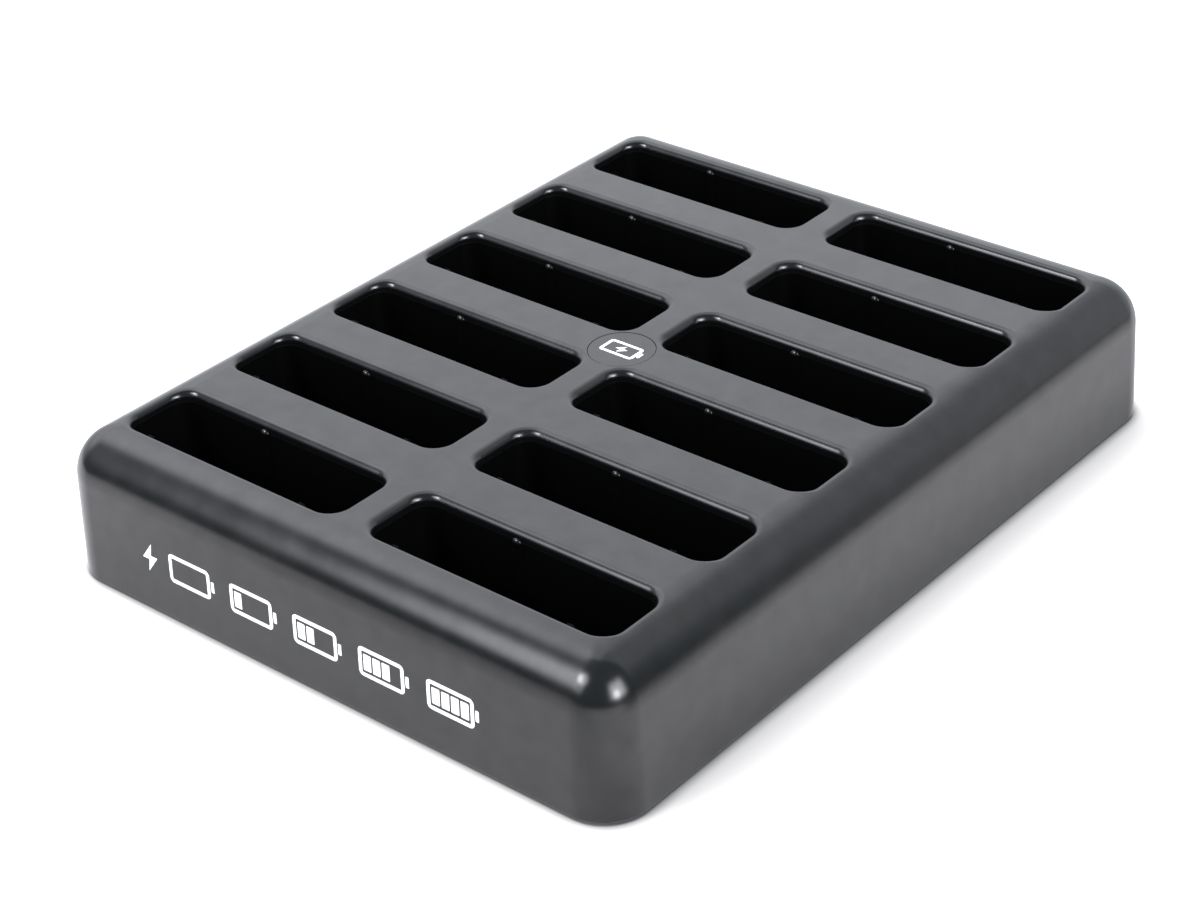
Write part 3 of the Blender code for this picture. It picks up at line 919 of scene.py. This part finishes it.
def make_camera():
    data = bpy.data.cameras.new("camera")
    data.lens = CAMERA_LENS
    data.sensor_width = 36.0
    data.clip_start = 0.01
    camera = bpy.data.objects.new("camera", data)
    bpy.context.scene.collection.objects.link(camera)
    back = direction(CAMERA_AZIMUTH, CAMERA_ELEVATION)
    right = Vector((-back.y, back.x, 0.0)).normalized()
    up = back.cross(right)
    rolled_right = right * math.cos(CAMERA_ROLL) + up * math.sin(CAMERA_ROLL)
    rolled_up = back.cross(rolled_right)
    matrix = Matrix((rolled_right, rolled_up, back)).transposed().to_4x4()
    matrix.translation = LOOK_AT + back * CAMERA_DISTANCE
    camera.matrix_world = matrix
    bpy.context.scene.camera = camera


def make_overhead_light():
    data = bpy.data.lights.new("overhead", "AREA")
    data.shape = "SQUARE"
    data.size = OVERHEAD_SIZE
    data.energy = OVERHEAD_RADIANCE * math.pi * OVERHEAD_SIZE ** 2
    light = bpy.data.objects.new("overhead", data)
    bpy.context.scene.collection.objects.link(light)
    towards = direction(OVERHEAD_AZIMUTH, OVERHEAD_ELEVATION)
    light.location = towards * OVERHEAD_DISTANCE
    light.rotation_euler = (-towards).to_track_quat("-Z", "Y").to_euler()
    light.visible_camera = False
    light.visible_glossy = False


class Studio:
    """Brightness all round the tray, added up from soft-edged areas; angles in degrees.

    azimuth is counted from the front and rear from behind, so that each has its seam on the far side.
    """

    def __init__(self, nodes):
        self.nodes = nodes
        self.towards = nodes.add("ShaderNodeTexCoord").outputs["Generated"]
        x, y, z = nodes.add("ShaderNodeSeparateXYZ", Vector=self.towards).outputs
        minus_x = compute(nodes, "MULTIPLY", x, -1.0)
        minus_y = compute(nodes, "MULTIPLY", y, -1.0)
        self.azimuth = self.degrees(compute(nodes, "ARCTAN2", x, minus_y))
        self.rear = self.degrees(compute(nodes, "ARCTAN2", minus_x, y))
        self.elevation = self.degrees(compute(nodes, "ARCSINE", z))
        self.total = 0.0

    def degrees(self, angle):
        return compute(self.nodes, "MULTIPLY", angle, math.degrees(1.0))

    def add(self, brightness, *shapes):
        for shape in shapes:
            brightness = compute(self.nodes, "MULTIPLY", shape, brightness)
        self.total = compute(self.nodes, "ADD", brightness, self.total)

    def panel(self, brightness, azimuths, elevations, lean):
        """A soft rectangle; lean is how far its sides shift in azimuth for each degree of elevation."""
        shift = compute(self.nodes, "MULTIPLY", self.elevation, lean)
        across = compute(self.nodes, "SUBTRACT", self.azimuth, shift)
        width = band(self.nodes, across, *azimuths)
        height = band(self.nodes, self.elevation, *elevations)
        self.add(brightness, width, height)

    def lamp(self, brightness, azimuth, elevation, core, edge):
        centre = direction(math.radians(azimuth), math.radians(elevation))
        dot = self.nodes.add("ShaderNodeVectorMath", {"operation": "DOT_PRODUCT"}, i0=self.towards, i1=centre)
        cosines = [math.cos(math.radians(angle)) for angle in (edge, core)]
        self.add(brightness, fade(self.nodes, dot.outputs["Value"], *cosines, 0.0, 1.0))


def make_strip_light():
    """A see-through sheet with a glowing patch, in front on the left.

    It stands near enough for its reflection to shift along the tray.
    """
    outline = rounded_outline(STRIP_HALF_WIDTH, STRIP_HALF_HEIGHT, 0.02, 3)
    sheet = lofted_mesh("strip_light", [level(outline, z) for z in (0.0, STRIP_THICKNESS)])
    strip = add_object("strip_light", sheet)
    towards = direction(STRIP_AZIMUTH, STRIP_ELEVATION)
    strip.location = Vector((STRIP_AIM_X, -LENGTH / 2, TOP)) + towards * STRIP_DISTANCE
    strip.rotation_euler = towards.to_track_quat("Z", "Y").to_euler()
    material, nodes = empty_material("strip_light")
    across, along, depth = nodes.axes()
    shift = compute(nodes, "MULTIPLY", compute(nodes, "ADD", along, -STRIP_LEAN_FOOT), STRIP_LEAN)
    width = band(nodes, compute(nodes, "ADD", across, shift), *STRIP_ACROSS)
    height = band(nodes, along, *STRIP_ALONG)
    # The sheet's two faces both glow, so each gives half
    strength = compute(nodes, "MULTIPLY", compute(nodes, "MULTIPLY", width, height), STRIP_BRIGHTNESS / 2)
    glow = nodes.add("ShaderNodeEmission", Color=LAMP_COLOUR, Strength=strength)
    clear = nodes.add("ShaderNodeBsdfTransparent")
    both = nodes.add("ShaderNodeAddShader", i0=glow.outputs[0], i1=clear.outputs[0])
    nodes.add("ShaderNodeOutputMaterial", i0=both.outputs[0])
    strip.data.materials.append(material)
    strip.visible_camera = False
    strip.visible_shadow = False


def make_world():
    """What the tray mirrors besides the strip: a dim room, a pale backdrop behind, panels and lamps."""
    world = bpy.data.worlds.new("studio")
    world.use_nodes = True
    bpy.context.scene.world = world
    nodes = Nodes(world.node_tree)
    studio = Studio(nodes)
    room = fade(nodes, studio.elevation, *ROOM)
    studio.add(BACKDROP_BRIGHTNESS, band(nodes, studio.rear, *BACKDROP))
    studio.add(UPPER_BRIGHTNESS, band(nodes, studio.rear, *UPPER),
               fade(nodes, studio.elevation, *UPPER_RISE, 0.0, 1.0))
    for panel in STUDIO_PANELS:
        studio.panel(*panel)
    for lamp in STUDIO_LAMPS:
        studio.lamp(*lamp)
    seen = nodes.add("ShaderNodeBackground", Color=(1.0, 1.0, 1.0, 1.0), Strength=1.0)
    lights = nodes.add("ShaderNodeBackground", Color=LAMP_COLOUR, Strength=studio.total)
    surroundings = nodes.add("ShaderNodeBackground", Color=ROOM_COLOUR, Strength=room)
    mirrored = nodes.add("ShaderNodeAddShader", i0=lights.outputs[0], i1=surroundings.outputs[0])
    path = nodes.add("ShaderNodeLightPath")
    mix = nodes.add("ShaderNodeMixShader", i0=path.outputs["Is Camera Ray"], i1=mirrored.outputs[0],
                    i2=seen.outputs[0])
    nodes.add("ShaderNodeOutputWorld", i0=mix.outputs[0])


def floor_plane(name, half_x, half_y):
    outline = rounded_outline(half_x, half_y, 0.1 * half_x, 8)
    plane = add_object(name, lofted_mesh(name, [level(outline, z) for z in (-FLOOR_THICKNESS, 0.0)]))
    material, nodes, shader = new_material(name)
    nodes.set(shader, Roughness=0.9, Specular_IOR_Level=0.0)
    plane.data.materials.append(material)
    return plane, nodes, shader


def make_floor():
    """A pale floor with a painted contact shadow, dark where the tray all but touches it.

    It is dim enough for the tray's soft shadow on its right not to burn out.
    """
    floor, nodes, shader = floor_plane("floor", FLOOR_HALF, FLOOR_HALF)
    mottle = noise(nodes, FLOOR_MOTTLE)
    open_side = nodes.add("ShaderNodeAmbientOcclusion", Distance=CONTACT_SHADOW_REACH).outputs["AO"]
    paper = blend_colours(nodes, mottle, (0.715, 0.692, 0.672), (0.735, 0.711, 0.691))
    # Painted contact shadow: the paper turns dark where ambient occlusion closes in
    closed_in = fade(nodes, open_side, 0.35, 0.88, 1.0, 0.0)
    nodes.set(shader, Base_Color=blend_colours(nodes, closed_in, paper, CONTACT_SHADOW_COLOUR))
    floor.visible_glossy = False


def make_mirrored_floor():
    """What the tray mirrors of the floor, a glowing sheet seen only in reflections: bright in front and on
    its left, with a painted shadow on its right.
    """
    patch, nodes, shader = floor_plane("floor_mirrored", 0.60, 0.75)
    x, y, z = nodes.axes()
    front = fade(nodes, y, -0.60, -0.15, 0.75, 1.70)
    left = fade(nodes, x, -0.22, -0.08, 1.35, 1.0)
    corner = fade(nodes, x, 0.11, 0.19, 1.0, 1.35)
    beside = fade(nodes, y, -0.20, -0.10, 0.0, 1.0)
    # Painted shadow of the tray along its right side; further out the sheet is darker still
    shadow = fade(nodes, x, 0.125, 0.158, 0.60, 1.0)
    beyond = fade(nodes, x, 0.17, 0.36, 1.0, 0.42)
    right = nodes.add("ShaderNodeMix", {"data_type": "FLOAT"}, i0=beside, i2=corner,
                      i3=compute(nodes, "MULTIPLY", shadow, beyond))
    glow = compute(nodes, "MULTIPLY", compute(nodes, "MULTIPLY", front, left), right.outputs[0])
    nodes.set(shader, Base_Color=(0.0, 0.0, 0.0, 1.0), Emission_Color=LAMP_COLOUR, Emission_Strength=glow)
    patch.visible_camera = False
    patch.visible_diffuse = False
    patch.visible_shadow = False


def main():
    bpy.context.scene.view_settings.view_transform = "Standard"
    # Box in which the wells' walls are rougher and darkened as painted shade
    shaded_inside_wells = (WIDTH / 2 - DULL_AND_SHADED_INSET_X, LENGTH / 2 - DULL_AND_SHADED_INSET_Y, TOP - DULL_AND_SHADED_BELOW_TOP)
    shell_plastic = moulded_plastic("shell_plastic", (0.0022, 0.0024, 0.0026), (0.0030, 0.0032, 0.0035),
                                    0.19, 0.0005 * MM, 0.008 * MM, shaded_inside_wells)
    badge_plastic = moulded_plastic("badge_plastic", (0.0024, 0.0026, 0.0028), (0.0032, 0.0034, 0.0037),
                                    0.22, 0.0005 * MM, 0.004 * MM)
    base_plastic = moulded_plastic("base_plastic", (0.015, 0.015, 0.016), (0.022, 0.022, 0.023),
                                   0.5, 0.02 * MM)
    inlet_plastic = moulded_plastic("jack_plastic", (0.010, 0.010, 0.011), (0.014, 0.014, 0.015),
                                    0.30, 0.002 * MM)
    header_nylon = moulded_plastic("header_nylon", (0.52, 0.50, 0.43), (0.60, 0.58, 0.50), 0.45, 0.004 * MM)
    block_nylon = moulded_plastic("block_nylon", (0.014, 0.014, 0.016), (0.022, 0.022, 0.024),
                                  0.48, 0.006 * MM)
    capacitor_can = metal("capacitor_can", (0.50, 0.51, 0.53), (0.62, 0.63, 0.65), 0.30, 0.002 * MM)
    gold = metal("contact_gold", (0.72, 0.50, 0.18), (0.86, 0.64, 0.28), 0.22, 0.001 * MM)
    steel = metal("screw_steel", (0.36, 0.36, 0.37), (0.52, 0.52, 0.54), 0.32, 0.003 * MM)
    white = ink()

    make_camera()
    make_shell(shell_plastic)
    make_badge(badge_plastic)
    make_front_print(white)
    make_badge_print(white)
    make_contact_pins(gold)
    make_feet(rubber())
    make_screws(steel)
    make_base(base_plastic)
    make_jack(inlet_plastic)
    make_jack_pin(gold)
    dress_inner_nodes({"board": board_laminate(), "link_header": header_nylon,
                       "bulk_capacitor": capacitor_can, "contact_block": block_nylon})
    make_world()
    make_overhead_light()
    make_strip_light()
    make_floor()
    make_mirrored_floor()


main()
